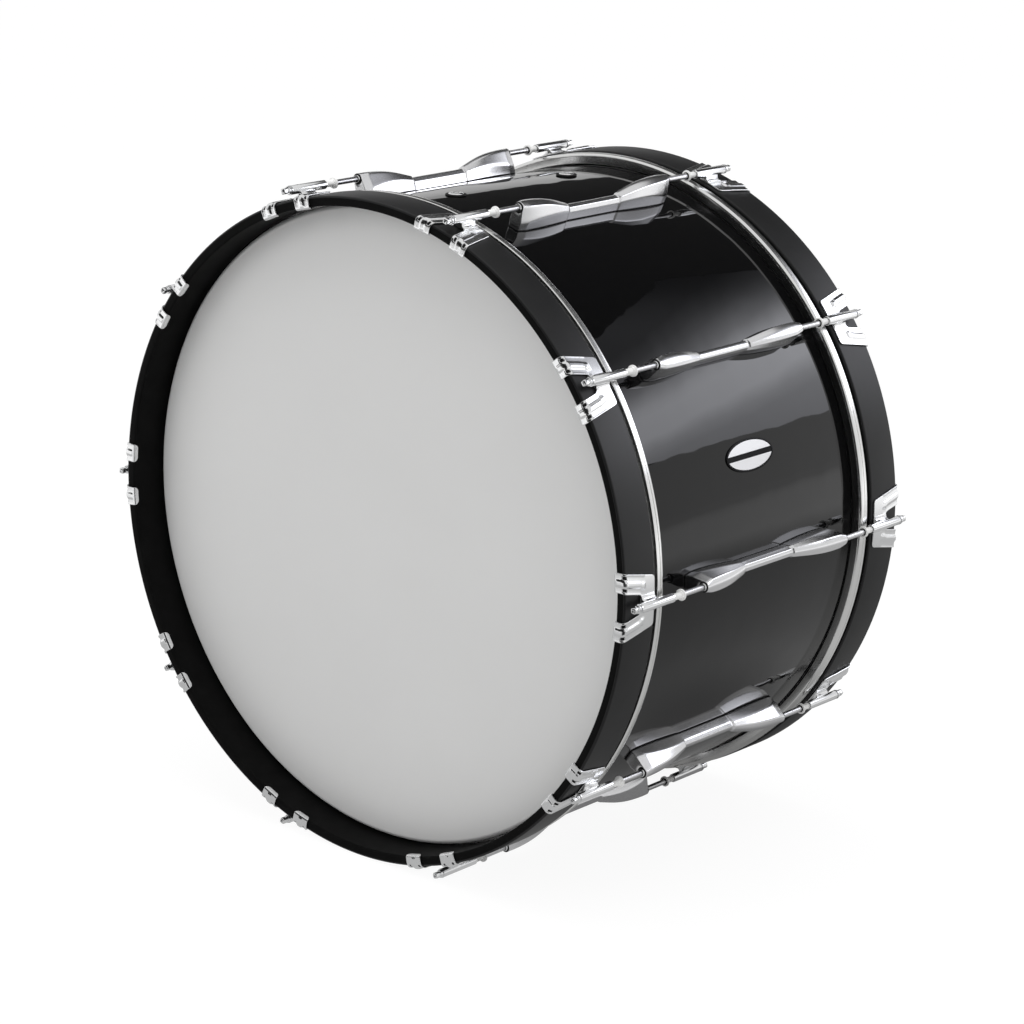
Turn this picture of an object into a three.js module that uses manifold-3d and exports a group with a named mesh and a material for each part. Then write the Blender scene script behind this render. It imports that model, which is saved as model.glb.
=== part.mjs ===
// Marching bass drum, 24 inches across, carried on its side with the playing heads at the two ends.
// The drum's axis lies along Y with the front head towards -Y, and it stands on its two wooden hoops.
// Angles round the drum run from straight up (+Z) towards +X. All lengths are in millimetres.

import * as THREE from 'three';
import { mergeVertices } from 'three/addons/utils/BufferGeometryUtils.js';
import Module from 'manifold-3d';

const wasm = await Module();
wasm.setup();

// Counts and angles
const ringSides = 60;
const roundSides = 8;
const lugCount = 10;
const lugStep = (2 * Math.PI) / lugCount;
const cornerShare = 1 / Math.cos(Math.PI / ringSides);
const firstLugAngle = lugStep / 2;
const badgeAngle = 2 * lugStep;

// Fits
const seatGap = 0.3;
const boreClearance = 0.3;
const overrun = 4;

// Shell: six-ply maple cylinder with a chamfered bearing edge at each end
const shellRadius = 304.8;
const shellLength = 343;
const shellWall = 7.5;
const bearingRound = 2.8;

// Head: a film cap stretched over the bearing edge, and the metal flesh hoop its collar hangs in
const filmThickness = 0.5;
const filmGap = 0.5;
const fleshDepth = 10;
const fleshWidth = 10;
const fleshLipWidth = 6.1;
const fleshLipDepth = 4.2;
const collarInset = 2.5;

// Wooden tension hoop, a little wider inside than the shell
const hoopGap = 2.7;
const hoopThickness = 9.5;
const hoopWidth = 42;
const hoopEdge = 1.2;
const hoopReach = 35.5;

// Tension rod with its key head, washer and nylon ring
const rodRadius = 2.7;
const rodEngagement = 23.1;
const rodTipTaper = 2;
const rodTipRadius = 2.2;
const rodHeight = 21.4;
const keyHeadWidth = 6.2;
const keyHeadLength = 8.6;
const rodWasherRadius = 4.7;
const rodWasherThickness = 2;
const nylonRadius = 5.3;
const nylonThickness = 2.5;
const nylonGap = 11;

// Claw: a pressed plate that hooks over the hoop's face and carries the rod's guide tube
const clawSheet = 2.2;
const clawEdgeInset = 3;
const clawTipHalf = 32.5;
const clawShoulderHalf = 25.2;
const clawCornerHalf = 21;
const clawCornerLength = 2.8;
const clawSlotHalf = 13.4;
const clawWebHalf = 8.4;
const clawWebLength = 18.6;
const clawWebCorner = 2.4;
const clawFootReach = 2.5;
const clawLipLength = 3.5;
const tubeWall = 1;
const tubeLength = 45;
const tubeStart = 16;
const saddleHalf = 2.6;
const saddleLength = 18;

// Lug: one casting that spans the shell, with a swelling at each end and a slim bridge between them
const lugLength = 214;
const lugHalfWidth = 9.8;
const lugHeight = 26.5;
const lugBoreDepth = 32;
const bridgeLength = 74;
const bridgeStep = 1.5;
const studRadius = 2.8;
const studSpacing = 150;
const studWasherRadius = 8;
const studWasherThickness = 1.6;
const studHeadRadius = 5;
const studHeadThickness = 4;

// Carrier fittings on top of the shell, and the oval badge
const fittingSpacing = 160;
const fittingRadius = 10.3;
const fittingHeight = 2.6;
const fittingFlatRadius = 7.6;
const fittingRim = 0.9;
const fittingStudRadius = 4;
const fittingNutRadius = 12;
const fittingNutThickness = 5;
const badgeLength = 69;
const badgeWidth = 30.4;
const badgeThickness = 1.2;
const badgeOffset = 2;
const badgeSides = 24;

// Places that follow from the sizes above, measured outwards from the drum's middle plane
const shellEnd = shellLength / 2;
const shellInner = shellRadius - shellWall;
const hoopFace = shellEnd + hoopReach;
const hoopBack = hoopFace - hoopWidth;
const hoopInner = shellRadius + hoopGap;
const hoopRadius = hoopInner + hoopThickness;
const filmInner = shellRadius + filmGap;
const filmOuter = filmInner + filmThickness;
const fleshInner = filmOuter + seatGap;
const lipFace = hoopBack - seatGap;
const fleshFace = lipFace - fleshLipDepth;
const fleshBack = fleshFace - fleshDepth;
const rodAxis = shellRadius + rodHeight;
const clawInner = hoopRadius + seatGap;
const clawOuter = clawInner + clawSheet;
const clawBack = hoopBack + clawEdgeInset;
const clawFootInner = hoopInner - clawFootReach;
const clawLipOuter = hoopInner - seatGap;
const clawLipBack = hoopFace - clawLipLength;
const clawFaceInner = hoopFace + seatGap;
const clawFace = clawFaceInner + clawSheet;
const tubeBack = clawBack - tubeStart;
const tubeFace = tubeBack + tubeLength;
const tubeBore = rodRadius + boreClearance;
const tubeRadius = tubeBore + tubeWall;
const washerBack = tubeFace + seatGap;
const washerFace = washerBack + rodWasherThickness;
const rodFace = washerFace + keyHeadLength;
const nylonFace = tubeBack - nylonGap;
const nylonBack = nylonFace - nylonThickness;
const lugBase = shellRadius + seatGap;
const lugEnd = lugLength / 2;
const rodTip = lugEnd - rodEngagement;
const bridgeEnd = bridgeLength / 2;

// A profile that ends where it began.
function closed(profile) {
  return [...profile, profile[0]];
}

// Turns a closed mesh into a solid, dropping the empty triangles that a profile leaves on its axis.
function solidOf(geometry) {
  const bare = geometry.clone();
  for (const name of Object.keys(bare.attributes)) {
    if (name !== 'position') bare.deleteAttribute(name);
  }
  const merged = mergeVertices(bare, 1e-4);
  const index = merged.index.array;
  const triangles = [];
  for (let i = 0; i < index.length; i += 3) {
    const [a, b, c] = [index[i], index[i + 1], index[i + 2]];
    if (a !== b && b !== c && c !== a) triangles.push(a, b, c);
  }
  const points = merged.attributes.position.array;
  if (signedVolume(points, triangles) < 0) triangles.reverse();
  const mesh = new wasm.Mesh({
    numProp: 3,
    vertProperties: new Float32Array(points),
    triVerts: new Uint32Array(triangles),
  });
  return new wasm.Manifold(mesh);
}

function signedVolume(points, triangles) {
  const corners = [new THREE.Vector3(), new THREE.Vector3(), new THREE.Vector3()];
  let sum = 0;
  for (let i = 0; i < triangles.length; i += 3) {
    corners.forEach((corner, k) => corner.fromArray(points, 3 * triangles[i + k]));
    sum += corners[0].dot(corners[1].clone().cross(corners[2]));
  }
  return sum;
}

function geometryOf(solid) {
  const mesh = solid.getMesh();
  const geometry = new THREE.BufferGeometry();
  geometry.setAttribute('position', new THREE.BufferAttribute(mesh.vertProperties, 3));
  geometry.setIndex(new THREE.BufferAttribute(mesh.triVerts, 1));
  geometry.computeVertexNormals();
  return geometry;
}

// A profile turned about the Y axis, with the radii given at the middle of its flats.
// The flats face straight up, straight down and every lug.
function ringSolid(profile) {
  const points = profile.map(([radius, along]) => new THREE.Vector2(radius * cornerShare, along));
  return solidOf(new THREE.LatheGeometry(points, ringSides, Math.PI / ringSides));
}

// A profile turned about its own axis, from the axis back to the axis, along -Y.
function turnedSolid(profile, sides) {
  const points = profile.map(([radius, along]) => new THREE.Vector2(radius, -along));
  return solidOf(new THREE.LatheGeometry(points, sides, Math.PI / sides));
}

// A block whose corners are given by its low and high points.
function blockSolid(low, high) {
  const size = high.map((value, axis) => value - low[axis]);
  const middle = high.map((value, axis) => (value + low[axis]) / 2);
  const box = new THREE.BoxGeometry(...size);
  box.translate(...middle);
  return solidOf(box);
}

// An upright round peg between two heights, with flats at the stated distance from its axis.
function pegSolid(flatRadius, low, high, along) {
  const peg = new THREE.CylinderGeometry(
    flatRadius / Math.cos(Math.PI / roundSides), flatRadius / Math.cos(Math.PI / roundSides),
    high - low, roundSides, 1, false, Math.PI / roundSides);
  peg.rotateX(Math.PI / 2);
  peg.translate(0, along, (low + high) / 2);
  return solidOf(peg);
}

// A round bar along Y at the rod's height, with flats at the stated distance from its axis.
function barSolid(flatRadius, low, high) {
  const bar = new THREE.CylinderGeometry(
    flatRadius / Math.cos(Math.PI / roundSides), flatRadius / Math.cos(Math.PI / roundSides),
    high - low, roundSides, 1, false, Math.PI / roundSides);
  bar.translate(0, -(low + high) / 2, rodAxis);
  return solidOf(bar);
}

// Shell with a hole for each lug stud and each carrier fitting.
function makeShell() {
  const crown = shellRadius - bearingRound;
  const innerBevel = shellEnd - (crown - shellInner);
  const profile = [
    [shellRadius, bearingRound - shellEnd],
    [shellRadius, shellEnd - bearingRound],
    [crown, shellEnd],
    [shellInner, innerBevel],
    [shellInner, -innerBevel],
    [crown, -shellEnd],
  ];
  let shell = ringSolid(closed(profile));
  for (const angle of lugAngles()) {
    for (const side of [-1, 1]) {
      shell = shell.subtract(holeThroughShell(studRadius, angle, side * studSpacing / 2));
    }
  }
  for (const side of [-1, 1]) {
    shell = shell.subtract(holeThroughShell(fittingStudRadius, 0, side * fittingSpacing / 2));
  }
  return geometryOf(shell);
}

function holeThroughShell(pinRadius, angle, along) {
  const low = shellInner - overrun;
  const high = shellRadius + overrun;
  const peg = pegSolid(pinRadius + boreClearance, low, high, along);
  return peg.rotate([0, THREE.MathUtils.radToDeg(angle), 0]);
}

function lugAngles() {
  return Array.from({ length: lugCount }, (unused, i) => firstLugAngle + i * lugStep);
}

// Film cap: flat over the shell, turned down over the bearing edge into a collar.
function makeHeadFilm() {
  const inside = shellEnd + seatGap;
  const outside = inside + filmThickness;
  const collarEnd = fleshBack + collarInset;
  const flatRadius = shellRadius - bearingRound + seatGap;
  const shoulder = shellEnd - bearingRound + seatGap;
  const profile = [
    [0, outside],
    [flatRadius, outside],
    [filmOuter, shoulder],
    [filmOuter, collarEnd],
    [filmInner, collarEnd],
    [filmInner, shoulder],
    [flatRadius, inside],
    [0, inside],
  ];
  return geometryOf(ringSolid(profile.map(([radius, along]) => [radius, -along])));
}

// Flesh hoop: a square metal ring with the narrower lip that the wooden hoop presses on.
function makeFleshHoop() {
  const outer = fleshInner + fleshWidth;
  const lip = fleshInner + fleshLipWidth;
  const profile = [
    [fleshInner, -fleshBack],
    [outer, -fleshBack],
    [outer, -fleshFace],
    [lip, -fleshFace],
    [lip, -lipFace],
    [fleshInner, -lipFace],
  ];
  return geometryOf(ringSolid(closed(profile)));
}

function makeHoop() {
  const profile = [
    [hoopInner, -hoopBack],
    [hoopRadius - hoopEdge, -hoopBack],
    [hoopRadius, -hoopBack - hoopEdge],
    [hoopRadius, hoopEdge - hoopFace],
    [hoopRadius - hoopEdge, -hoopFace],
    [hoopInner, -hoopFace],
  ];
  return geometryOf(ringSolid(closed(profile)));
}

// Claw outline seen from outside, with the sideways distance first.
function clawOutline() {
  const front = clawFace + overrun;
  const shoulder = clawBack + clawCornerLength;
  const webFace = clawBack + clawWebLength;
  const half = [
    [clawCornerHalf, clawBack],
    [clawShoulderHalf, shoulder],
    [clawTipHalf, front],
    [clawSlotHalf, front],
    [clawWebHalf, webFace + clawWebCorner],
    [clawWebHalf - clawWebCorner, webFace],
  ];
  const mirrored = half.map(([side, along]) => [-side, along]).reverse();
  return [...half, ...mirrored].map(([side, along]) => new THREE.Vector2(side, -along));
}

// Claw: a plate bent over both edges of the hoop, cut to outline, with a saddle and a tube for the rod.
function makeClaw() {
  const bent = ringSolid(closed([
    [clawInner, -clawBack],
    [clawOuter, -clawBack],
    [clawOuter, -clawFace],
    [clawFootInner, -clawFace],
    [clawFootInner, -clawLipBack],
    [clawLipOuter, -clawLipBack],
    [clawLipOuter, -clawFaceInner],
    [clawInner, -clawFaceInner],
  ]));
  const depth = clawOuter - clawFootInner + 2 * overrun;
  const cutter = new THREE.ExtrudeGeometry(new THREE.Shape(clawOutline()), {
    depth, bevelEnabled: false, steps: 1,
  });
  cutter.translate(0, 0, clawFootInner - overrun);
  const plate = bent.intersect(solidOf(cutter));
  const saddle = blockSolid(
    [-saddleHalf, -clawBack - saddleLength, clawOuter - clawSheet / 2],
    [saddleHalf, -clawBack, rodAxis]);
  const tube = barSolid(tubeRadius, tubeBack, tubeFace);
  const bore = barSolid(tubeBore, tubeBack - overrun, tubeFace + overrun);
  return geometryOf(plate.add(saddle).add(tube).subtract(bore));
}

// Tension rod about its own axis: threaded shank, nylon ring, washer and square key head.
function makeRod() {
  const rod = turnedSolid([
    [0, rodTip],
    [rodTipRadius, rodTip],
    [rodRadius, rodTip + rodTipTaper],
    [rodRadius, nylonBack],
    [nylonRadius, nylonBack],
    [nylonRadius, nylonFace],
    [rodRadius, nylonFace],
    [rodRadius, washerBack],
    [rodWasherRadius, washerBack],
    [rodWasherRadius, washerFace],
    [0, washerFace],
  ], roundSides);
  const half = keyHeadWidth / 2;
  const key = blockSolid([-half, -rodFace, -half], [half, -washerFace + rodWasherThickness / 2, half]);
  return geometryOf(rod.add(key));
}

// Shares of the lug's half length, half width and height at each section of one end.
const lugSectionShares = [
  { along: 1, base: 0.63, middle: [0.7, 0.3], shoulder: [0.45, 0.92], crown: 1 },
  { along: 0.92, base: 0.8, middle: [0.95, 0.34], shoulder: [0.65, 0.92], crown: 1 },
  { along: 0.82, base: 0.82, middle: [1, 0.42], shoulder: [0.7, 0.9], crown: 0.985 },
  { along: 0.7, base: 0.8, middle: [0.98, 0.47], shoulder: [0.68, 0.87], crown: 0.95 },
  { along: 0.58, base: 0.73, middle: [0.9, 0.48], shoulder: [0.62, 0.78], crown: 0.86 },
  { along: 0.46, base: 0.63, middle: [0.755, 0.45], shoulder: [0.51, 0.66], crown: 0.72 },
];
const swellingEndShares = { base: 0.53, middle: [0.6, 0.39], shoulder: [0.42, 0.55], crown: 0.6 };
const bridgeShares = { base: 0.46, middle: [0.5, 0.33], shoulder: [0.35, 0.48], crown: 0.525 };

// One section of the lug as a ring of points, from the base round over the crown and back.
function lugSection(shares, along) {
  const half = [
    [shares.base, 0],
    shares.middle,
    shares.shoulder,
  ].map(([side, up]) => [side * lugHalfWidth, up * lugHeight]);
  const crown = [0, shares.crown * lugHeight];
  const mirrored = half.map(([side, up]) => [-side, up]).reverse();
  return [...half, crown, ...mirrored].map(([side, up]) => new THREE.Vector3(side, along, lugBase + up));
}

// Joins a row of sections into one closed solid with flat ends.
function loftSolid(sections) {
  const count = sections[0].length;
  const index = [];
  for (let s = 0; s + 1 < sections.length; s += 1) {
    for (let i = 0; i < count; i += 1) {
      const j = (i + 1) % count;
      const [a, b] = [s * count + i, s * count + j];
      index.push(a, b, a + count, b, b + count, a + count);
    }
  }
  const last = (sections.length - 1) * count;
  for (let i = 1; i + 1 < count; i += 1) {
    index.push(0, i + 1, i, last, last + i, last + i + 1);
  }
  const geometry = new THREE.BufferGeometry().setFromPoints(sections.flat());
  geometry.setIndex(index);
  return solidOf(geometry);
}

// Lug: two swellings joined by the bridge, bored for the rods, with two studs through the shell.
function makeLug() {
  const front = lugSectionShares.map((shares) => lugSection(shares, -shares.along * lugEnd));
  front.push(lugSection(swellingEndShares, -bridgeEnd));
  front.push(lugSection(bridgeShares, bridgeStep - bridgeEnd));
  const rear = lugSectionShares.map((shares) => lugSection(shares, shares.along * lugEnd)).reverse();
  rear.unshift(lugSection(swellingEndShares, bridgeEnd));
  rear.unshift(lugSection(bridgeShares, bridgeEnd - bridgeStep));
  let lug = loftSolid([...front, ...rear]);
  for (const side of [-1, 1]) {
    lug = lug.subtract(barSolid(tubeBore, side * lugEnd - side * lugBoreDepth, side * (lugEnd + overrun)));
    lug = lug.add(studSolid(side * studSpacing / 2));
  }
  return geometryOf(lug);
}

// Screw, washer and screw head inside the shell.
function studSolid(along) {
  const washerTop = shellInner - seatGap;
  const washerBottom = washerTop - studWasherThickness;
  const headBottom = washerBottom - studHeadThickness;
  const shank = pegSolid(studRadius, washerBottom, lugBase + studRadius, along);
  const washer = pegSolid(studWasherRadius, washerBottom, washerTop, along);
  const head = pegSolid(studHeadRadius, headBottom, washerBottom + studWasherThickness / 2, along);
  return shank.add(washer).add(head);
}

// Carrier fitting: low round head outside, stud through the shell, flanged nut inside.
function makeFitting() {
  const top = shellRadius + seatGap + fittingHeight;
  const base = shellRadius + seatGap;
  const nutTop = shellInner - seatGap;
  const profile = [
    [0, nutTop - fittingNutThickness],
    [fittingNutRadius, nutTop - fittingNutThickness],
    [fittingNutRadius, nutTop],
    [fittingStudRadius, nutTop],
    [fittingStudRadius, base],
    [fittingRadius, base],
    [fittingRadius, base + fittingRim],
    [fittingFlatRadius, top],
    [0, top],
  ].map(([radius, up]) => new THREE.Vector2(radius, up));
  const fitting = new THREE.LatheGeometry(profile, 2 * roundSides);
  fitting.rotateX(Math.PI / 2);
  return geometryOf(solidOf(fitting));
}

function makeBadge() {
  const outline = new THREE.EllipseCurve(0, 0, badgeWidth / 2, badgeLength / 2);
  const shape = new THREE.Shape(outline.getPoints(badgeSides).slice(0, badgeSides));
  const badge = new THREE.ExtrudeGeometry(shape, { depth: badgeThickness, bevelEnabled: false, steps: 1 });
  badge.translate(0, badgeOffset, shellRadius + seatGap);
  return geometryOf(solidOf(badge));
}

function material(color, roughness, metalness) {
  return new THREE.MeshStandardMaterial({ color, roughness, metalness });
}

function addMesh(parent, name, geometry, surface) {
  const mesh = new THREE.Mesh(geometry, surface);
  mesh.name = name;
  parent.add(mesh);
  return mesh;
}

// Adds a front piece, and its twin turned end for end.
function addPair(parent, name, geometry, surface) {
  addMesh(parent, `front_${name}`, geometry, surface);
  addMesh(parent, `rear_${name}`, geometry, surface).rotation.z = Math.PI;
}

// A group turned to an angle round the drum, so that its +Z points outwards there.
function stationAt(parent, angle) {
  const station = new THREE.Group();
  station.rotation.y = angle;
  parent.add(station);
  return station;
}

const lacquer = material(0x0b0b0d, 0.08, 0);
const hoopPaint = material(0x1b1c1e, 0.42, 0);
const film = material(0xc6c6c5, 0.5, 0);
const satinAluminium = material(0xc9cacc, 0.3, 1);
const brushedRing = material(0xbfc0c0, 0.28, 1);
const chrome = material(0xe4e5e6, 0.08, 1);
const badgePlate = material(0xdcdcdd, 0.35, 0.6);

const drum = new THREE.Group();
drum.position.z = hoopRadius;
addMesh(drum, 'shell', makeShell(), lacquer);
addPair(drum, 'hoop', makeHoop(), hoopPaint);
addPair(drum, 'head_film', makeHeadFilm(), film);
addPair(drum, 'flesh_hoop', makeFleshHoop(), brushedRing);

const fittingGeometry = makeFitting();
for (const [name, side] of [['front', -1], ['rear', 1]]) {
  const fitting = addMesh(drum, `${name}_carrier_fitting`, fittingGeometry, chrome);
  fitting.position.y = side * fittingSpacing / 2;
}
addMesh(stationAt(drum, badgeAngle), 'badge', makeBadge(), badgePlate);

const lugGeometry = makeLug();
const clawGeometry = makeClaw();
const rodGeometry = makeRod();
lugAngles().forEach((angle, i) => {
  const station = stationAt(drum, angle);
  addMesh(station, `lug_${i + 1}`, lugGeometry, satinAluminium);
  addMesh(station, `front_claw_${i + 1}`, clawGeometry, chrome);
  const rearStation = new THREE.Group();
  rearStation.rotation.z = Math.PI;
  station.add(rearStation);
  addMesh(rearStation, `rear_claw_${i + 1}`, clawGeometry, chrome);
  addMesh(station, `front_tension_rod_${i + 1}`, rodGeometry, chrome).position.z = rodAxis;
  addMesh(rearStation, `rear_tension_rod_${i + 1}`, rodGeometry, chrome).position.z = rodAxis;
});

export default drum;
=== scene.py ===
import math

import bmesh
import bpy
from mathutils import Matrix, Vector


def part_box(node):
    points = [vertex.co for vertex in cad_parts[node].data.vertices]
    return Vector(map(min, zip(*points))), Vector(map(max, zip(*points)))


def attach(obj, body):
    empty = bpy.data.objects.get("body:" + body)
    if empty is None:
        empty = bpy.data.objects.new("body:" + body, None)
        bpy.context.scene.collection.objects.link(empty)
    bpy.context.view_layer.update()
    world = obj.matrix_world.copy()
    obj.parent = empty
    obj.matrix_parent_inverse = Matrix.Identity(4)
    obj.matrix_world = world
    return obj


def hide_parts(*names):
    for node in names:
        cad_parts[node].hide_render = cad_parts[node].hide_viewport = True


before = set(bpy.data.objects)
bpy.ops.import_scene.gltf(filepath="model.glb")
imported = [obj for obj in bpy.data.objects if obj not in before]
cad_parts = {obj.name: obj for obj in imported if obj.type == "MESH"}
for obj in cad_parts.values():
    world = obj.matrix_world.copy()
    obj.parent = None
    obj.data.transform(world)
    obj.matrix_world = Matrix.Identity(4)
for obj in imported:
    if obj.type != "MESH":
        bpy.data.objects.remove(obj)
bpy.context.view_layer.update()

# Camera
# A long lens stands to the right of the front head and looks down on the drum.
# Its place was fitted to the rod tips and the hoops of the photograph.

scene = bpy.context.scene
scene.view_settings.view_transform = "Standard"

camera_place = Vector((1.9528, -2.2688, 1.1495))
camera_target = Vector((0.0051, 0.0040, 0.2990))
camera_roll = math.radians(1.24)
camera_lens = 111.89
camera_sensor = 36

camera_data = bpy.data.cameras.new("photo_camera")
camera_data.sensor_width = camera_sensor
camera_data.lens = camera_lens
camera = bpy.data.objects.new("photo_camera", camera_data)
scene.collection.objects.link(camera)
camera_aim = (camera_target - camera_place).to_track_quat("-Z", "Y").to_matrix().to_4x4()
camera.matrix_world = Matrix.Translation(camera_place) @ camera_aim @ Matrix.Rotation(camera_roll, 4, "Z")
scene.camera = camera

# Studio
# A pale paper floor in a white room with two soft lamps. Sheets that show only in mirrors paint the
# bands of light and shade in the lacquer: a glowing softbox, a glowing grey wall and a dark ceiling
# behind, and black cloth in front. These are painted reflections.


def material_named(name, color, roughness, metallic=0.0, ior=None, specular=None):
    """A material with its Principled shader, in plain colour, before any pattern is added."""
    material = bpy.data.materials.new(name)
    material.use_nodes = True
    shader = material.node_tree.nodes["Principled BSDF"]
    shader.inputs["Base Color"].default_value = (*color, 1)
    shader.inputs["Roughness"].default_value = roughness
    shader.inputs["Metallic"].default_value = metallic
    if ior is not None:
        shader.inputs["IOR"].default_value = ior
    if specular is not None:
        shader.inputs["Specular IOR Level"].default_value = specular
    material.diffuse_color = (*color, 1)
    return material


def joined(nodes, links, operation, first, second):
    """Works out a sum, a product or the larger of two values. The second may be a plain number."""
    node = nodes.new("ShaderNodeMath")
    node.operation = operation
    links.new(first, node.inputs[0])
    if isinstance(second, (int, float)):
        node.inputs[1].default_value = second
    else:
        links.new(second, node.inputs[1])
    return node.outputs["Value"]


def ranged(nodes, links, value, start, end, low, high, eased=True):
    """Leads a value from low at start to high at end, eased at both or in a straight line."""
    node = nodes.new("ShaderNodeMapRange")
    node.interpolation_type = "SMOOTHSTEP" if eased else "LINEAR"
    for socket, number in (("From Min", start), ("From Max", end), ("To Min", low), ("To Max", high)):
        node.inputs[socket].default_value = number
    links.new(value, node.inputs["Value"])
    return node.outputs["Result"]


def share_by_ray(nodes, links, shares):
    """A value that is set for each kind of ray and is 0 for all other rays."""
    path = nodes.new("ShaderNodeLightPath")
    total = None
    for ray, share in shares.items():
        part = joined(nodes, links, "MULTIPLY", path.outputs[ray], share)
        total = part if total is None else joined(nodes, links, "MAXIMUM", total, part)
    return total


room_light = 0.62
backdrop_light = 1.06
backdrop_shares = {"Is Camera Ray": 1, "Is Glossy Ray": 0.3, "Is Transmission Ray": 1}

world = bpy.data.worlds.new("white_room")
world.use_nodes = True
scene.world = world
nodes, links = world.node_tree.nodes, world.node_tree.links
background = nodes["Background"]
background.inputs["Color"].default_value = (1, 1, 1, 1)
seen = share_by_ray(nodes, links, backdrop_shares)
light = ranged(nodes, links, seen, 0, 1, room_light, backdrop_light, eased=False)
links.new(light, background.inputs["Strength"])

floor_size = 60
paper_grey = (0.82, 0.82, 0.82)
paper_glow = 1.08
paper_glow_shares = {"Is Camera Ray": 0.86, "Is Glossy Ray": 1, "Is Transmission Ray": 0.86}

# In mirrors the paper glows least near this spot under the drum, a painted shadow of the drum,
# most further out, and a little less again far away. Each step says where it starts and ends, in
# metres from the spot, and what it adds before its start and past its end.
drum_shadow_spot = (0.15, 0.15, 0)
mirror_glow_steps = [(0.1, 0.3, 0.2, 0.48), (0.9, 2.1, 0, 0.6), (4.0, 12.0, 0, -0.3)]

bm = bmesh.new()
bmesh.ops.create_grid(bm, x_segments=1, y_segments=1, size=floor_size / 2)
floor_mesh = bpy.data.meshes.new("paper_floor")
bm.to_mesh(floor_mesh)
bm.free()
paper = material_named("paper_floor", paper_grey, roughness=0.9)
nodes, links = paper.node_tree.nodes, paper.node_tree.links
glow = nodes.new("ShaderNodeEmission")
blend = nodes.new("ShaderNodeMixShader")
links.new(share_by_ray(nodes, links, paper_glow_shares), blend.inputs["Fac"])
links.new(nodes["Principled BSDF"].outputs[0], blend.inputs[1])
links.new(glow.outputs[0], blend.inputs[2])
links.new(blend.outputs[0], nodes["Material Output"].inputs["Surface"])
floor_place = nodes.new("ShaderNodeTexCoord")
spot_distance = nodes.new("ShaderNodeVectorMath")
spot_distance.operation = "DISTANCE"
spot_distance.inputs[1].default_value = drum_shadow_spot
links.new(floor_place.outputs["Object"], spot_distance.inputs[0])
mirror_glow = None
for start, end, before, after in mirror_glow_steps:
    step = ranged(nodes, links, spot_distance.outputs["Value"], start, end, before, after)
    mirror_glow = step if mirror_glow is None else joined(nodes, links, "ADD", mirror_glow, step)
glow_level = nodes.new("ShaderNodeMix")
glow_level.inputs["A"].default_value = paper_glow
links.new(share_by_ray(nodes, links, {"Is Glossy Ray": 1}), glow_level.inputs["Factor"])
links.new(mirror_glow, glow_level.inputs["B"])
links.new(glow_level.outputs["Result"], glow.inputs["Strength"])
floor_mesh.materials.append(paper)
floor = bpy.data.objects.new("paper_floor", floor_mesh)
scene.collection.objects.link(floor)


def soft_lamp(name, place, aim, size, power):
    """A square area lamp that looks at a point and doesn't show in mirrors."""
    light = bpy.data.lights.new(name, "AREA")
    light.shape = "RECTANGLE"
    light.size = size
    light.size_y = size
    light.energy = power
    lamp = bpy.data.objects.new(name, light)
    scene.collection.objects.link(lamp)
    lamp.location = place
    lamp.rotation_euler = (Vector(aim) - Vector(place)).to_track_quat("-Z", "Y").to_euler()
    lamp.visible_glossy = False


soft_lamp("overhead_softbox", place=(0.1, -0.2, 2.4), aim=(0.1, -0.2, 0.3), size=2.0, power=22)
soft_lamp("front_softbox", place=(-1.2, -3.0, 1.9), aim=(0, 0, 0.3), size=1.6, power=16)


def panel(name, place, facing, width, height, material, slope=0.0):
    """A flat sheet that faces a direction, shows only in mirrors and may have a sloping lower edge."""
    bm = bmesh.new()
    bmesh.ops.create_grid(bm, x_segments=1, y_segments=1, size=0.5)
    bmesh.ops.scale(bm, vec=(width, height, 1), verts=bm.verts)
    for vertex in bm.verts:
        if vertex.co.y < 0:
            vertex.co.y += slope * vertex.co.x
    mesh = bpy.data.meshes.new(name)
    bm.to_mesh(mesh)
    bm.free()
    mesh.materials.append(material)
    sheet = bpy.data.objects.new(name, mesh)
    scene.collection.objects.link(sheet)
    sheet.location = place
    sheet.rotation_euler = Vector(facing).to_track_quat("Z", "Y").to_euler()
    sheet.visible_camera = False
    sheet.visible_diffuse = False
    sheet.visible_shadow = False
    sheet.visible_transmission = False


def glowing_cloth(name, tones, low, high, color, power, edge_power=None, fade=(0, 1)):
    """A cloth between two heights that glows by its own height, from (height, tone) pairs, and
    that may start from another power at one side, over a stretch of its width."""
    cloth = bpy.data.materials.new(name)
    cloth.use_nodes = True
    nodes, links = cloth.node_tree.nodes, cloth.node_tree.links
    nodes.clear()
    place = nodes.new("ShaderNodeTexCoord")
    axes = nodes.new("ShaderNodeSeparateXYZ")
    links.new(place.outputs["Object"], axes.inputs[0])
    half = (high - low) / 2
    height = ranged(nodes, links, axes.outputs["Y"], -half, half, 0, 1, eased=False)
    ramp = nodes.new("ShaderNodeValToRGB")
    links.new(height, ramp.inputs["Fac"])
    # A new ramp has two stops already.
    stops = ramp.color_ramp.elements
    for number, (level, tone) in enumerate(tones):
        share = (level - low) / (high - low)
        stop = stops[number] if number < 2 else stops.new(share)
        stop.position = share
        stop.color = (tone, tone, tone, 1)
    first_power = power if edge_power is None else edge_power
    side_power = ranged(nodes, links, axes.outputs["X"], *fade, first_power, power)
    strength = joined(nodes, links, "MULTIPLY", ramp.outputs["Color"], side_power)
    light = nodes.new("ShaderNodeEmission")
    light.inputs["Color"].default_value = (*color, 1)
    links.new(strength, light.inputs["Strength"])
    output = nodes.new("ShaderNodeOutputMaterial")
    links.new(light.outputs[0], output.inputs["Surface"])
    return cloth


# The softbox is a sheet that glows but lights nothing: a painted reflection, with its soft edges drawn in
# its tones.
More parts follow.
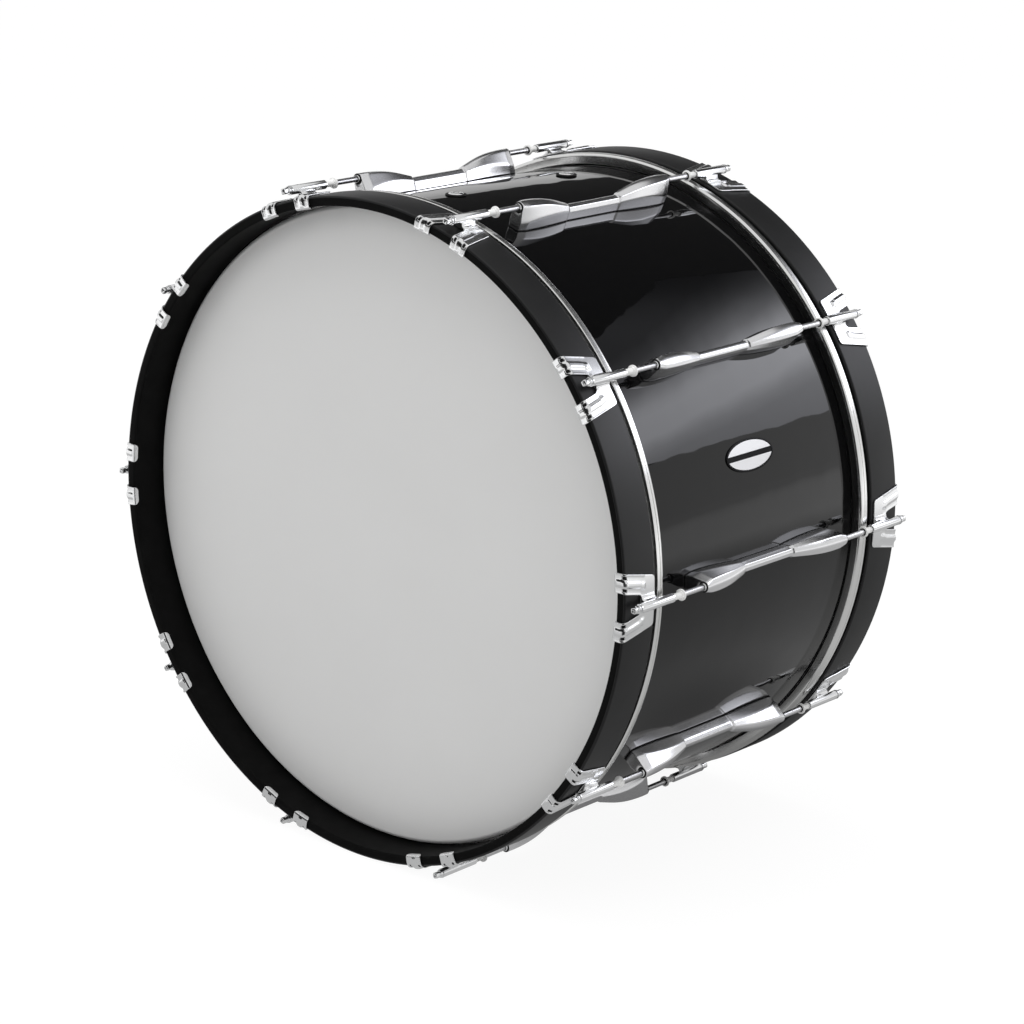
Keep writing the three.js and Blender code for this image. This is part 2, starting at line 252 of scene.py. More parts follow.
softbox_low = 0.60
softbox_high = 1.6
softbox_width = 1.2
softbox_power = 4.3
softbox_white = (0.93, 0.94, 1.0)
softbox_tones = [
    (0.60, 0.44), (0.74, 0.52), (0.80, 0.66), (0.87, 0.96), (1.0, 1.0), (1.05, 0.92),
    (1.15, 0.46), (1.21, 0.31), (1.27, 0.2), (1.34, 0.12), (1.42, 0.07),
]
softbox_cloth = glowing_cloth(
    "softbox_cloth", softbox_tones, softbox_low, softbox_high, softbox_white, softbox_power,
    edge_power=softbox_power / 5, fade=(-softbox_width / 2, -softbox_width / 10))
panel("tall_softbox", place=(0.773, 0.939, (softbox_low + softbox_high) / 2), facing=(-0.5, -0.866, 0),
      width=softbox_width, height=softbox_high - softbox_low, material=softbox_cloth, slope=0.31)

# The grey wall glows by itself and is dimmer towards the floor: painted light that shows only in mirrors.
wall_high = 1.16
wall_tones = [(0.1, 0.35), (0.9, 0.85)]
wall_glow = glowing_cloth("grey_wall_glow", wall_tones, 0, wall_high, color=(1, 1, 1), power=1.0)
panel("grey_wall", place=(-2.35, 2.0, wall_high / 2), facing=(0, -1, 0),
      width=2.7, height=wall_high, material=wall_glow)

# The dark ceiling and the black cloth are dark sheets that only mirrors see: painted dark reflections.
black_cloth = material_named("black_cloth", (0.045, 0.045, 0.045), roughness=1.0)
panel("dark_ceiling", place=(1.25, 3.0, 2.9), facing=(0, -1, 0),
      width=5.5, height=2.8, material=black_cloth)
panel("dark_ceiling_end", place=(-2.95, 3.0, 2.98), facing=(0, -1, 0),
      width=2.9, height=2.64, material=black_cloth, slope=-0.35)
front_cloth = material_named("black_front_cloth", (0.01, 0.01, 0.01), roughness=1.0)
panel("dark_front_wall", place=(0.1, -2.8, 2.0), facing=(0, 1, 0),
      width=6.6, height=4.0, material=front_cloth)
panel("dark_front_floor", place=(1.6, -1.65, 0.003), facing=(0, 0, 1),
      width=2.4, height=2.3, material=front_cloth)

# Shell
# A maple cylinder, 24 inches across, with two turned ends, under deep black lacquer that was
# sanded and buffed to a mirror. Each end is cut to a bearing edge that the head rests on.

mm = 0.001
seam_gap = 0.005 * mm
ring_steps = 360
shell_radius = 304.8 * mm
shell_half = 171.5 * mm
shell_wall = 7.5 * mm
shell_corner = 1.2 * mm
bearing_round = 2.8 * mm
hoop_low, hoop_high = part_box("front_hoop")
axis_height = (hoop_low.z + hoop_high.z) / 2
crease_angle = math.radians(32)


def chain(points, closed=False):
    """A bmesh that joins points by edges in their order, and back to the first if closed."""
    bm = bmesh.new()
    corners = [bm.verts.new(point) for point in points]
    for start, end in zip(corners, corners[1:]):
        bm.edges.new((start, end))
    if closed:
        bm.edges.new((corners[-1], corners[0]))
    return bm


def ring_outline(points, closed=True):
    """The outline of a ring, from pairs of (distance from the drum's axis, place along it)."""
    return chain([(0, along, radius) for radius, along in points], closed)


def numbered(bm, *numbers):
    """The vertices of an outline that have these numbers."""
    bm.verts.ensure_lookup_table()
    return [bm.verts[number] for number in numbers]


def round_corners(bm, corners, radius, segments=4):
    """Rounds these corners of an outline."""
    bmesh.ops.bevel(bm, geom=corners, offset=radius, offset_type="OFFSET", segments=segments,
                    profile=0.5, affect="VERTICES", material=-1)


def turn(bm, steps=ring_steps, centre=(0, 0, 0), axis=(0, 1, 0)):
    """Spins an outline once round a line and closes its seam and its poles."""
    bmesh.ops.spin(bm, geom=bm.verts[:] + bm.edges[:], cent=centre, axis=axis,
                   angle=2 * math.pi, steps=steps, use_merge=True)
    bmesh.ops.remove_doubles(bm, verts=bm.verts, dist=seam_gap)
    bmesh.ops.recalc_face_normals(bm, faces=bm.faces)


def mesh_from(bm, angle=crease_angle):
    """Ends a bmesh and gives a mesh that is shaded smooth up to an angle."""
    mesh = bpy.data.meshes.new("blank")
    bm.to_mesh(mesh)
    bm.free()
    mesh.shade_smooth()
    mesh.set_sharp_from_angle(angle=angle)
    return mesh


def on_drum(angle=0.0, rear=False):
    """Carries a piece that was made upright at the front of the drum to its place on it."""
    turned = Matrix.Rotation(math.pi if rear else 0.0, 4, "Z")
    return Matrix.Translation((0, 0, axis_height)) @ Matrix.Rotation(angle, 4, "Y") @ turned


def add_piece(name, mesh, material, place, body):
    """Puts a copy of a mesh in its place and ties it to a body."""
    copy = mesh.copy()
    copy.name = name
    copy.transform(place)
    copy.materials.append(material)
    piece = bpy.data.objects.new(name, copy)
    scene.collection.objects.link(piece)
    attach(piece, body)
    return piece


def noise(material, lumps, detail=2.0):
    """A noise texture of so many lumps to the metre."""
    texture = material.node_tree.nodes.new("ShaderNodeTexNoise")
    texture.inputs["Scale"].default_value = lumps
    texture.inputs["Detail"].default_value = detail
    return texture


def add_bump(material, texture, strength, height):
    """Raises a surface by a texture's first output, read in metres on the object."""
    nodes, links = material.node_tree.nodes, material.node_tree.links
    place = nodes.new("ShaderNodeTexCoord")
    bump = nodes.new("ShaderNodeBump")
    bump.inputs["Strength"].default_value = strength
    bump.inputs["Distance"].default_value = height
    links.new(place.outputs["Object"], texture.inputs["Vector"])
    links.new(texture.outputs[0], bump.inputs["Height"])
    shader = nodes["Principled BSDF"]
    if shader.inputs["Normal"].is_linked:
        links.new(shader.inputs["Normal"].links[0].from_socket, bump.inputs["Normal"])
    links.new(bump.outputs["Normal"], shader.inputs["Normal"])


def add_tones(material, texture, socket, low, high):
    """Lets a texture lead the colour or the roughness of a surface from one tone to another."""
    nodes, links = material.node_tree.nodes, material.node_tree.links
    place = nodes.new("ShaderNodeTexCoord")
    ramp = nodes.new("ShaderNodeValToRGB")
    for stop, position, tone in zip(ramp.color_ramp.elements, (0.3, 0.7), (low, high)):
        stop.position = position
        stop.color = (*tone, 1) if isinstance(tone, tuple) else (tone, tone, tone, 1)
    links.new(place.outputs["Object"], texture.inputs["Vector"])
    links.new(texture.outputs[0], ramp.inputs["Fac"])
    links.new(ramp.outputs["Color"], nodes["Principled BSDF"].inputs[socket])


lacquer = material_named("gloss_black_lacquer", (0.003, 0.003, 0.0033), roughness=0.03, ior=1.45)
add_tones(lacquer, noise(lacquer, lumps=30, detail=3), "Roughness", low=0.02, high=0.045)
add_bump(lacquer, noise(lacquer, lumps=12), strength=0.6, height=1.1 * mm)
add_bump(lacquer, noise(lacquer, lumps=420), strength=0.04, height=0.05 * mm)

shell_crown = shell_radius - bearing_round
shell_inner = shell_radius - shell_wall
shell_slope = shell_half - (shell_crown - shell_inner)
bm = ring_outline([
    (shell_radius, -shell_half + bearing_round), (shell_radius, shell_half - bearing_round),
    (shell_crown, shell_half), (shell_inner, shell_slope),
    (shell_inner, -shell_slope), (shell_crown, -shell_half),
])
round_corners(bm, numbered(bm, 0, 1), shell_corner)
turn(bm)
shell = add_piece("lacquered_shell", mesh_from(bm), lacquer, on_drum(), "drum")
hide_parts("shell")

# Heads
# White polyester film, pressed hot into a flat disc with a turned-down collar.
# The collar passes over the bearing edge and is crimped into the flesh hoop.

ends = ("front", "rear")
seat_gap = 0.3 * mm
film_thickness = 0.5 * mm
film_gap = 0.5 * mm
film_corner = 1.6 * mm
film_face = shell_half + seat_gap + film_thickness
film_radius = shell_radius + film_gap + film_thickness
film_flat = shell_crown + seat_gap
collar_end = 153 * mm
collar_start = shell_half - bearing_round

film_white = material_named("head_film_white", (0.735, 0.735, 0.73), roughness=0.42, ior=1.5)
add_tones(film_white, noise(film_white, lumps=3.5, detail=3), "Base Color",
          low=(0.72, 0.72, 0.715), high=(0.75, 0.75, 0.745))
add_bump(film_white, noise(film_white, lumps=900, detail=4), strength=0.10, height=0.03 * mm)

bm = ring_outline([
    (0, -film_face), (film_flat, -film_face), (film_radius, -collar_start), (film_radius, -collar_end),
    (film_radius - film_thickness, -collar_end), (film_radius - film_thickness, -collar_start),
    (film_flat, -film_face + film_thickness), (0, -film_face + film_thickness),
], closed=False)
round_corners(bm, numbered(bm, 1, 2, 5, 6), film_corner, 5)
turn(bm)
film_mesh = mesh_from(bm)
for end in ends:
    film = add_piece(f"{end}_film", film_mesh, film_white, on_drum(rear=end == "rear"), "drum")
    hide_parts(f"{end}_head_film")

# Flesh hoops
# Bright drawn aluminium rings, grooved once round, that grip the film. A narrow lip on each
# carries the wooden hoop, which presses it towards the middle of the shell.

tiny = 0.01 * mm
flesh_inner = film_radius + seat_gap
flesh_outer = flesh_inner + 10 * mm
flesh_lip = flesh_inner + 6.1 * mm
flesh_back = 150.5 * mm
flesh_face = 160.5 * mm
flesh_seat = 164.7 * mm
flesh_back_corner = 4.0 * mm
flesh_face_corner = 1.2 * mm
groove_back = 155.6 * mm
groove_face = 156.4 * mm
groove_floor = flesh_outer - 0.5 * mm

ring_metal = material_named("flesh_hoop_aluminium", (0.88, 0.88, 0.87), roughness=0.2, metallic=1.0)
add_tones(ring_metal, noise(ring_metal, lumps=60, detail=4), "Roughness", low=0.18, high=0.22)
add_bump(ring_metal, noise(ring_metal, lumps=700, detail=3), strength=0.12, height=0.02 * mm)

bm = ring_outline([
    (flesh_inner, -flesh_back), (flesh_outer, -flesh_back), (flesh_outer, -groove_back),
    (groove_floor, -groove_back), (groove_floor, -groove_face),
    (flesh_outer, -groove_face), (flesh_outer, -flesh_face),
    (flesh_lip, -flesh_face), (flesh_lip, -flesh_seat), (flesh_inner, -flesh_seat),
])
round_corners(bm, numbered(bm, 1), flesh_back_corner, 8)
on_face = [v for v in bm.verts if abs(v.co.y + flesh_face) < tiny and v.co.z > flesh_lip + tiny]
round_corners(bm, on_face, flesh_face_corner)
turn(bm)
flesh_mesh = mesh_from(bm)
for end in ends:
    ring = add_piece(f"{end}_aluminium_hoop", flesh_mesh, ring_metal, on_drum(rear=end == "rear"), "drum")
    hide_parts(f"{end}_flesh_hoop")

# Wooden hoops
# Steam-bent maple hoops with eased edges, in satin black paint. Their faces and inner wall get a
# darker copy of that paint with little shine, a painted shade. The claws hook over their outer faces.

hoop_gap = 2.7 * mm
hoop_thickness = 9.5 * mm
hoop_radius = shell_radius + hoop_gap + hoop_thickness
hoop_inner = hoop_radius - hoop_thickness
hoop_face = 207 * mm
hoop_back = 165 * mm
hoop_corner = 2.0 * mm
satin_start = hoop_radius - 1.8 * mm

satin_black = material_named("satin_black_paint", (0.008, 0.008, 0.0085), roughness=0.44, ior=1.4)
add_tones(satin_black, noise(satin_black, lumps=45, detail=4), "Base Color",
          low=(0.007, 0.007, 0.0074), high=(0.0092, 0.0092, 0.0097))
add_bump(satin_black, noise(satin_black, lumps=260, detail=5), strength=0.10, height=0.06 * mm)
add_bump(satin_black, noise(satin_black, lumps=14, detail=2), strength=0.12, height=0.5 * mm)
# A darker, duller copy of the satin paint: painted shade on the hoops' faces and inner wall.
shaded_hoop_black = material_named("shaded_hoop_black_paint", (0.005, 0.005, 0.005), roughness=0.6, specular=0.05)
add_tones(shaded_hoop_black, noise(shaded_hoop_black, lumps=60, detail=4), "Base Color",
          low=(0.004, 0.004, 0.004), high=(0.006, 0.006, 0.006))
add_bump(shaded_hoop_black, noise(shaded_hoop_black, lumps=400, detail=4), strength=0.15, height=0.05 * mm)

bm = ring_outline([
    (hoop_inner, -hoop_back), (hoop_radius, -hoop_back), (hoop_radius, -hoop_face), (hoop_inner, -hoop_face),
])
round_corners(bm, bm.verts[:], hoop_corner, 6)
turn(bm)
# The outer band takes the satin paint, and the faces and inner wall take its painted-shade copy.
for face in bm.faces:
    centre = face.calc_center_median()
    face.material_index = 0 if math.hypot(centre.x, centre.z) > satin_start else 1
hoop_mesh = mesh_from(bm)
for end in ends:
    place = on_drum(rear=end == "rear")
    hoop = add_piece(f"{end}_maple_hoop", hoop_mesh, satin_black, place, f"{end}_hoop_set")
    hoop.data.materials.append(shaded_hoop_black)
    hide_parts(f"{end}_hoop")

# Lugs
# Ten polished aluminium castings, each a slim bridge between two swellings that hold the
# threaded inserts of the rods. Two screws from inside pull each one down on a thin gasket.

no_crease = math.pi
lug_count = 10
lug_angles = [math.radians(360 * (i + 0.5) / lug_count) for i in range(lug_count)]
lug_half = 107 * mm
gasket_thickness = 0.4 * mm
gasket_inset = 0.2 * mm
gasket_lift = 0.02 * mm
lug_base = shell_radius + gasket_thickness
rod_height = 21.4 * mm
rod_line = shell_radius + rod_height
mouth_radius = 4.3 * mm
mouth_depth = 24 * mm
mouth_turn_degrees = -70
mouth_crease = 0.95

# Each row: place along the lug, half width of the foot, widest half width and its height,
# half width of the shoulder and its height, and height of the crown, all in millimetres.
lug_rows = [
    (107.0, 6.2, 6.9, 8.0, 4.4, 24.4, 26.4),
    (98.0, 7.8, 9.3, 9.0, 6.4, 24.3, 26.4),
    (88.0, 8.0, 9.8, 11.0, 6.9, 23.9, 26.1),
    (75.0, 7.8, 9.6, 12.5, 6.7, 22.8, 25.1),
    (62.0, 7.2, 8.8, 12.8, 6.1, 20.6, 22.8),
    (49.0, 6.2, 7.4, 12.0, 5.0, 17.4, 19.1),
    (38.0, 5.2, 5.9, 10.4, 4.1, 14.6, 15.8),
    (36.4, 4.5, 4.9, 8.8, 3.4, 12.8, 13.9),
]
crown_lift_share = 0.72

# How sharp the casting stays across its ends and bridge, by the row, and along its foot, its
# widest line and its shoulder, by the point of the section.
row_creases = {0: 0.9, 1: 0.9, 6: 0.85, 7: 0.85}
point_creases = (1.0, 0.85, 0.6)


def lug_section(row):
    """The points of one section, from one side of the foot over the crown to the other."""
    foot, wide, wide_up, shoulder, shoulder_up, crown = (value * mm for value in row[1:])
    lift = shoulder_up + (crown - shoulder_up) * crown_lift_share
    half = [(foot, 0), (wide, wide_up), (shoulder, shoulder_up), (shoulder / 2, lift)]
    return [*half, (0, crown), *((-side, up) for side, up in reversed(half))]


def move_ring(ring, along, section):
    """Sets a ring of vertices to a section at a place along the lug."""
    for vertex, (side, up) in zip(ring, section):
        vertex.co = (side, along, lug_base + up)


def added_vertices(geometry):
    """The vertices among what an operator made."""
    return [item for item in geometry if isinstance(item, bmesh.types.BMVert)]


def extruded(bm, ring):
    """Extrudes a closed ring of vertices and gives the new ring in the same order."""
    count = len(ring)
    edges = [bm.edges.get((ring[i], ring[(i + 1) % count])) for i in range(count)]
    fresh = added_vertices(bmesh.ops.extrude_edge_only(bm, edges=edges)["geom"])
    return [next(v for v in fresh if (v.co - old.co).length < tiny) for old in ring]


polished = material_named("polished_lug_casting", (0.82, 0.82, 0.83), roughness=0.23, metallic=1.0)
add_tones(polished, noise(polished, lumps=70, detail=2), "Roughness", low=0.21, high=0.24)
add_bump(polished, noise(polished, lumps=60, detail=2), strength=0.04, height=0.08 * mm)
gasket_black = material_named("gasket_black", (0.012, 0.012, 0.012), roughness=0.6, specular=0.15)
add_tones(gasket_black, noise(gasket_black, lumps=300, detail=3), "Base Color",
          low=(0.009, 0.009, 0.009), high=(0.016, 0.016, 0.016))
add_bump(gasket_black, noise(gasket_black, lumps=1800, detail=2), strength=0.2, height=0.05 * mm)

# The casting is drawn out from its front end to its rear end, and each mouth is sunk in last.
stations = [(-row[0] * mm, lug_section(row)) for row in lug_rows]
stations += [(-along, section) for along, section in reversed(stations)]
first_along, first_section = stations[0]
bm = chain([(side, first_along, lug_base + up) for side, up in first_section], closed=True)
ring = bm.verts[:]
rings = [ring]
for along, section in stations[1:]:
    ring = extruded(bm, ring)
    move_ring(ring, along, section)
    rings.append(ring)
row_count = len(stations)
point_count = len(ring)
for mouth, sign in ((rings[0], -1), (rings[-1], 1)):
    turns = [math.radians(mouth_turn_degrees + 360 * i / point_count) for i in range(point_count)]
    hole = [
        (mouth_radius * math.cos(turned), rod_height - gasket_thickness + mouth_radius * math.sin(turned))
        for turned in turns
    ]
    lip = extruded(bm, mouth)
    move_ring(lip, sign * lug_half, hole)
    bottom = extruded(bm, lip)
    move_ring(bottom, sign * (lug_half - mouth_depth), hole)
    bm.faces.new(bottom)
    rings += [lip, bottom]
bmesh.ops.recalc_face_normals(bm, faces=bm.faces)
crease = bm.edges.layers.float.new("crease_edge")
for number, ring in enumerate(rings):
    row_from_end = min(number, row_count - 1 - number)
    sharpness = mouth_crease if number >= row_count else row_creases.get(row_from_end, 0)
    for i in range(point_count):
        bm.edges.get((ring[i], ring[(i + 1) % point_count]))[crease] = sharpness
for before, after in zip(rings, rings[1:row_count]):
    for point, sharpness in enumerate(point_creases):
        for i in (point, point_count - 1 - point):
            bm.edges.get((before[i], after[i]))[crease] = sharpness
lug_mesh = mesh_from(bm, no_crease)

gasket_edge = [(row[1] * mm - gasket_inset, row[0] * mm - gasket_inset) for row in lug_rows]
outline = [(side, -along) for side, along in gasket_edge] + list(reversed(gasket_edge))
outline += [(-side, along) for side, along in reversed(outline)]
bm = bmesh.new()
sheet = bm.faces.new([bm.verts.new((side, along, shell_radius + gasket_lift)) for side, along in outline])
raised = added_vertices(bmesh.ops.extrude_face_region(bm, geom=[sheet])["geom"])
bmesh.ops.translate(bm, vec=(0, 0, gasket_thickness), verts=raised)
bmesh.ops.recalc_face_normals(bm, faces=bm.faces)
gasket_mesh = mesh_from(bm)


def turned_part(points, steps=48):
    """A part turned about the rod's line, from (radius, place along the drum) pairs in millimetres."""
    bm = chain([(0, -along * mm, radius * mm) for radius, along in points])
    turn(bm, steps)
    bmesh.ops.translate(bm, vec=(0, 0, rod_line), verts=bm.verts)
    return mesh_from(bm)


chrome = material_named("bright_chrome", (0.9, 0.905, 0.91), roughness=0.18, metallic=1.0)
add_tones(chrome, noise(chrome, lumps=120, detail=4), "Roughness", low=0.15, high=0.22)
add_bump(chrome, noise(chrome, lumps=140, detail=2), strength=0.05, height=0.05 * mm)

insert_mesh = turned_part([
    (3.05, 104.0), (3.05, 108.9), (3.2, 109.1), (3.6, 109.0), (3.8, 108.6), (3.8, 104.0), (3.05, 104.0),
])
mouth_ring_mesh = turned_part([
    (4.0, 105.0), (4.0, 107.2), (4.3, 107.6), (5.0, 107.5),
    (5.2, 107.1), (4.25, 107.05), (4.25, 105.0), (4.0, 105.0),
])

for i, angle in enumerate(lug_angles):
    lug = add_piece(f"polished_lug_{i + 1}", lug_mesh, polished, on_drum(angle), "drum")
    smooth = lug.modifiers.new("smooth", "SUBSURF")
    smooth.levels = smooth.render_levels = 3
    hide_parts(f"lug_{i + 1}")
    add_piece(f"lug_gasket_{i + 1}", gasket_mesh, gasket_black, on_drum(angle), "drum")
    for end in ends:
        place = on_drum(angle, end == "rear")
        insert = add_piece(f"{end}_insert_{i + 1}", insert_mesh, chrome, place, "drum")
        add_piece(f"{end}_mouth_ring_{i + 1}", mouth_ring_mesh, gasket_black, place, "drum")

# Claws
# Pressed steel plates in bright chrome. Two beaded arms flare out beside a slot, fold over
# both edges of the hoop with two relief holes at the first fold, and end in a short lip.

claw_back = 168 * mm
claw_sheet = 1.6 * mm
claw_skin = hoop_radius + seat_gap + claw_sheet
claw_face = hoop_face + seat_gap + claw_sheet
claw_lip_skin = hoop_inner - seat_gap - claw_sheet
claw_bend = 4.5 * mm
claw_lip_bend = 2.4 * mm
claw_lip = 3.0 * mm
claw_flat_end = claw_face - claw_bend - claw_back
claw_bend_end = claw_flat_end + claw_bend * math.pi / 2
claw_foot_end = claw_bend_end + claw_skin - claw_bend - claw_lip_skin - claw_lip_bend
claw_lip_start = claw_foot_end + claw_lip_bend * math.pi / 2
claw_length = claw_lip_start + claw_lip
claw_corner = 3.0 * mm
claw_back_half = 23.2 * mm
claw_tip_half = 32.2 * mm
slot_start = 18.8 * mm
slot_back_half = 8.4 * mm
slot_front_half = 13.4 * mm
slot_corner = 2.2 * mm
lip_corner = 5.0 * mm
bead_start = 12.5 * mm
bead_ramp = 3.5 * mm
bead_height = 1.3 * mm
bead_face_share = 0.45
bead_top_share = 0.08
bead_foot_share = 0.21
rim_height = 0.25 * mm
rim_foot_share = 0.40
rim_top_share = 0.47
lift_fade = 1.4 * mm


def smooth_step(value, low, high):
    """Rises smoothly from 0 at low to 1 at high."""
    share = min(1.0, max(0.0, (value - low) / (high - low)))
    return share * share * (3 - 2 * share)


def quarter_round(distance, radius):
    """How far a rounded corner draws in an edge, at a distance along it from the corner."""
    if distance >= radius:
        return 0.0
    return radius - math.sqrt(max(0.0, radius * radius - (radius - distance) ** 2))


def claw_outer_edge(along):
    """Half width of the claw at a length along its blank, from the shell side to the lip's end."""
    flare = min(1.0, along / claw_bend_end)
    half = claw_back_half + (claw_tip_half - claw_back_half) * flare
    return half - quarter_round(along, claw_corner) - quarter_round(claw_length - along, lip_corner)


def claw_inner_edge(along):
    """Half width of the slot at a length along the blank."""
    share = min(1.0, (along - slot_start) / (claw_bend_end - slot_start))
    half = slot_back_half + (slot_front_half - slot_back_half) * share
    half -= quarter_round(along - slot_start, slot_corner)
    return half + quarter_round(claw_length - along, lip_corner)


def claw_lift(across, along):
    """How far the bead and the rolled rims stand above the plate."""
    off_middle = abs(across - 0.5)
    bead = bead_height * (1 - smooth_step(off_middle, bead_top_share, bead_foot_share))
    rim = rim_height * smooth_step(off_middle, rim_foot_share, rim_top_share)
    lift = (bead + rim) * smooth_step(along, bead_start, bead_start + bead_ramp)
    lift *= 1 - (1 - bead_face_share) * smooth_step(along, claw_flat_end, claw_bend_end)
    return lift * (1 - smooth_step(along, claw_foot_end - lift_fade, claw_foot_end))


def claw_point(side, along, lift):
    """Folds a point of the flat blank over the hoop's two edges and wraps it round the drum."""
    if along <= claw_flat_end:
        place, radius = claw_back + along, claw_skin + lift
    elif along <= claw_bend_end:
        turned = (along - claw_flat_end) / claw_bend
        place = claw_face - claw_bend + (claw_bend + lift) * math.sin(turned)
        radius = claw_skin - claw_bend + (claw_bend + lift) * math.cos(turned)
    elif along <= claw_foot_end:
        place = claw_face + lift
        radius = claw_skin - claw_bend - (along - claw_bend_end)
    elif along <= claw_lip_start:
        turned = (along - claw_foot_end) / claw_lip_bend
        place = claw_face - claw_lip_bend + (claw_lip_bend + lift) * math.cos(turned)
        radius = claw_lip_skin + claw_lip_bend - (claw_lip_bend + lift) * math.sin(turned)
    else:
        place = claw_face - claw_lip_bend - (along - claw_lip_start)
        radius = claw_lip_skin - lift
    angle = side / claw_skin
    return Vector((radius * math.sin(angle), -place, radius * math.cos(angle)))


# The blank is a grid of half a claw: four columns over the web, then the arm's columns at these
# shares of its width. Its rows are in millimetres from the shell side and from the lip's end.
web_columns = 4
arm_shares = (
    0.0, 0.03, 0.07, 0.14, 0.205, 0.27, 0.305, 0.34, 0.375, 0.41, 0.45, 0.5,
    0.55, 0.59, 0.625, 0.66, 0.695, 0.73, 0.8, 0.87, 0.93, 0.97, 1.0,
)
hole_columns = (3, 4, 17, 18)
flat_rows = (
    0.0, 0.35, 1.1, 2.1, 3.2, 6.0, 9.0, 11.5, 12.5, 13.3, 14.2, 15.1, 16.0, 17.4, 18.8,
    19.1, 19.8, 21.0, 24.0, 27.0, 30.0, 33.5,
)
fold_steps = 8
hole_steps = range(2, 7)
foot_shares = (0.3, 0.55, 0.78, 0.88)
lip_fold_steps = 4
lip_rows = (2.9, 2.1, 1.1, 0.35, 0.0)


def between(start, end, shares):
    """The places at these shares of a stretch."""
    return [start + (end - start) * share for share in shares]


claw_rows = [row * mm for row in flat_rows]
claw_rows += between(claw_flat_end, claw_bend_end, [i / fold_steps for i in range(fold_steps + 1)])
claw_rows += between(claw_bend_end, claw_foot_end, foot_shares)
claw_rows += between(claw_foot_end, claw_lip_start, [i / lip_fold_steps for i in range(lip_fold_steps)])
claw_rows += [claw_length - row * mm for row in lip_rows]

columns = web_columns + len(arm_shares)
bm = bmesh.new()
bmesh.ops.create_grid(bm, x_segments=columns - 1, y_segments=len(claw_rows) - 1, size=1)
grid = sorted(bm.verts, key=lambda v: (round(v.co.y, 5), round(v.co.x, 5)))
blank = {vertex: divmod(number, columns) for number, vertex in enumerate(grid)}
cut_away = []
for face in bm.faces:
    row = min(blank[v][0] for v in face.verts)
    column = min(blank[v][1] for v in face.verts)
    in_slot = column < web_columns and claw_rows[row] >= slot_start - tiny
    in_hole = row - len(flat_rows) in hole_steps and column - web_columns in hole_columns
    if in_slot or in_hole:
        cut_away.append(face)
for vertex, (row, column) in blank.items():
    along = claw_rows[row]
    inner = claw_inner_edge(max(along, slot_start))
    if column <= web_columns:
        vertex.co = claw_point(inner * column / web_columns, along, 0.0)
        continue
    across = arm_shares[column - web_columns]
    side = inner + (claw_outer_edge(along) - inner) * across
    vertex.co = claw_point(side, along, claw_lift(across, along))
bmesh.ops.delete(bm, geom=cut_away, context="FACES")
bmesh.ops.mirror(bm, geom=bm.verts[:] + bm.edges[:] + bm.faces[:], matrix=Matrix.Identity(4),
                 merge_dist=tiny, axis="X")
bmesh.ops.recalc_face_normals(bm, faces=bm.faces)
if sum(face.normal.z for face in bm.faces) < 0:
    bmesh.ops.reverse_faces(bm, faces=bm.faces)
plate_mesh = mesh_from(bm, no_crease)

tube_mesh = turned_part([
    (3.0, 152.0), (3.9, 152.0), (4.3, 152.5), (4.3, 196.0), (3.9, 196.9), (3.0, 196.9), (3.0, 152.0),
])

# The saddle under the tube is a bar of this section: half widths and heights over the plate, in
# millimetres. Its top ends inside the tube's wall, clear of the rod.
saddle_length = 18 * mm
saddle_start = claw_back + 0.6 * mm
saddle_corner = 0.3 * mm
saddle_section = [(7.4, -0.8), (7.2, 0.5), (5.6, 0.7), (4.1, 1.5), (3.4, 3.0), (2.9, 4.2)]
saddle_half = [(side * mm, claw_skin + up * mm) for side, up in saddle_section]
outline = saddle_half + [(-side, up) for side, up in reversed(saddle_half)]
bm = bmesh.new()
end_face = bm.faces.new([bm.verts.new((side, -saddle_start, up)) for side, up in outline])
pushed = added_vertices(bmesh.ops.extrude_face_region(bm, geom=[end_face])["geom"])
bmesh.ops.translate(bm, vec=(0, -saddle_length, 0), verts=pushed)
bmesh.ops.recalc_face_normals(bm, faces=bm.faces)
bmesh.ops.bevel(bm, geom=bm.edges[:], offset=saddle_corner, offset_type="OFFSET", segments=2,
                profile=0.5, affect="EDGES", material=-1)
saddle_mesh = mesh_from(bm)

for end in ends:
    for i, angle in enumerate(lug_angles):
        place = on_drum(angle, end == "rear")
        plate = add_piece(f"{end}_claw_plate_{i + 1}", plate_mesh, chrome, place, f"{end}_hoop_set")
        sheet = plate.modifiers.new("sheet", "SOLIDIFY")
        sheet.thickness = claw_sheet
        sheet.offset = -1
        eased = plate.modifiers.new("eased", "SUBSURF")
        eased.levels = eased.render_levels = 1
        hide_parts(f"{end}_claw_{i + 1}")
        tube = add_piece(f"{end}_claw_tube_{i + 1}", tube_mesh, chrome, place, f"{end}_hoop_set")
        saddle = add_piece(f"{end}_claw_saddle_{i + 1}", saddle_mesh, chrome, place, f"{end}_hoop_set")

# Tension rods
# Chromed steel rods with a square key head on a round collar, and a loose steel washer.
# Past the claw's tube a white nylon bush keeps each rod from rattling loose.

# The wave texture runs through 20 radians a metre at a scale of 1.
wave_radians = 20
thread_pitch = 25.4 / 24 * mm
key_half = 2.8 * mm
key_corner = 1.6 * mm
key_start = 201.9 * mm
key_end = 207.6 * mm
tip_rim = 0.15 * mm
tip_slope = 0.1 * mm
tip_depth = 1.6 * mm

steel_thread = material_named("rod_thread_steel", (0.66, 0.66, 0.67), roughness=0.3, metallic=1.0)
add_tones(steel_thread, noise(steel_thread, lumps=200, detail=3), "Roughness", low=0.26, high=0.34)
thread_wave = steel_thread.node_tree.nodes.new("ShaderNodeTexWave")
thread_wave.bands_direction = "Y"
thread_wave.inputs["Scale"].default_value = 2 * math.pi / (wave_radians * thread_pitch)
add_bump(steel_thread, thread_wave, strength=0.25, height=0.2 * mm)

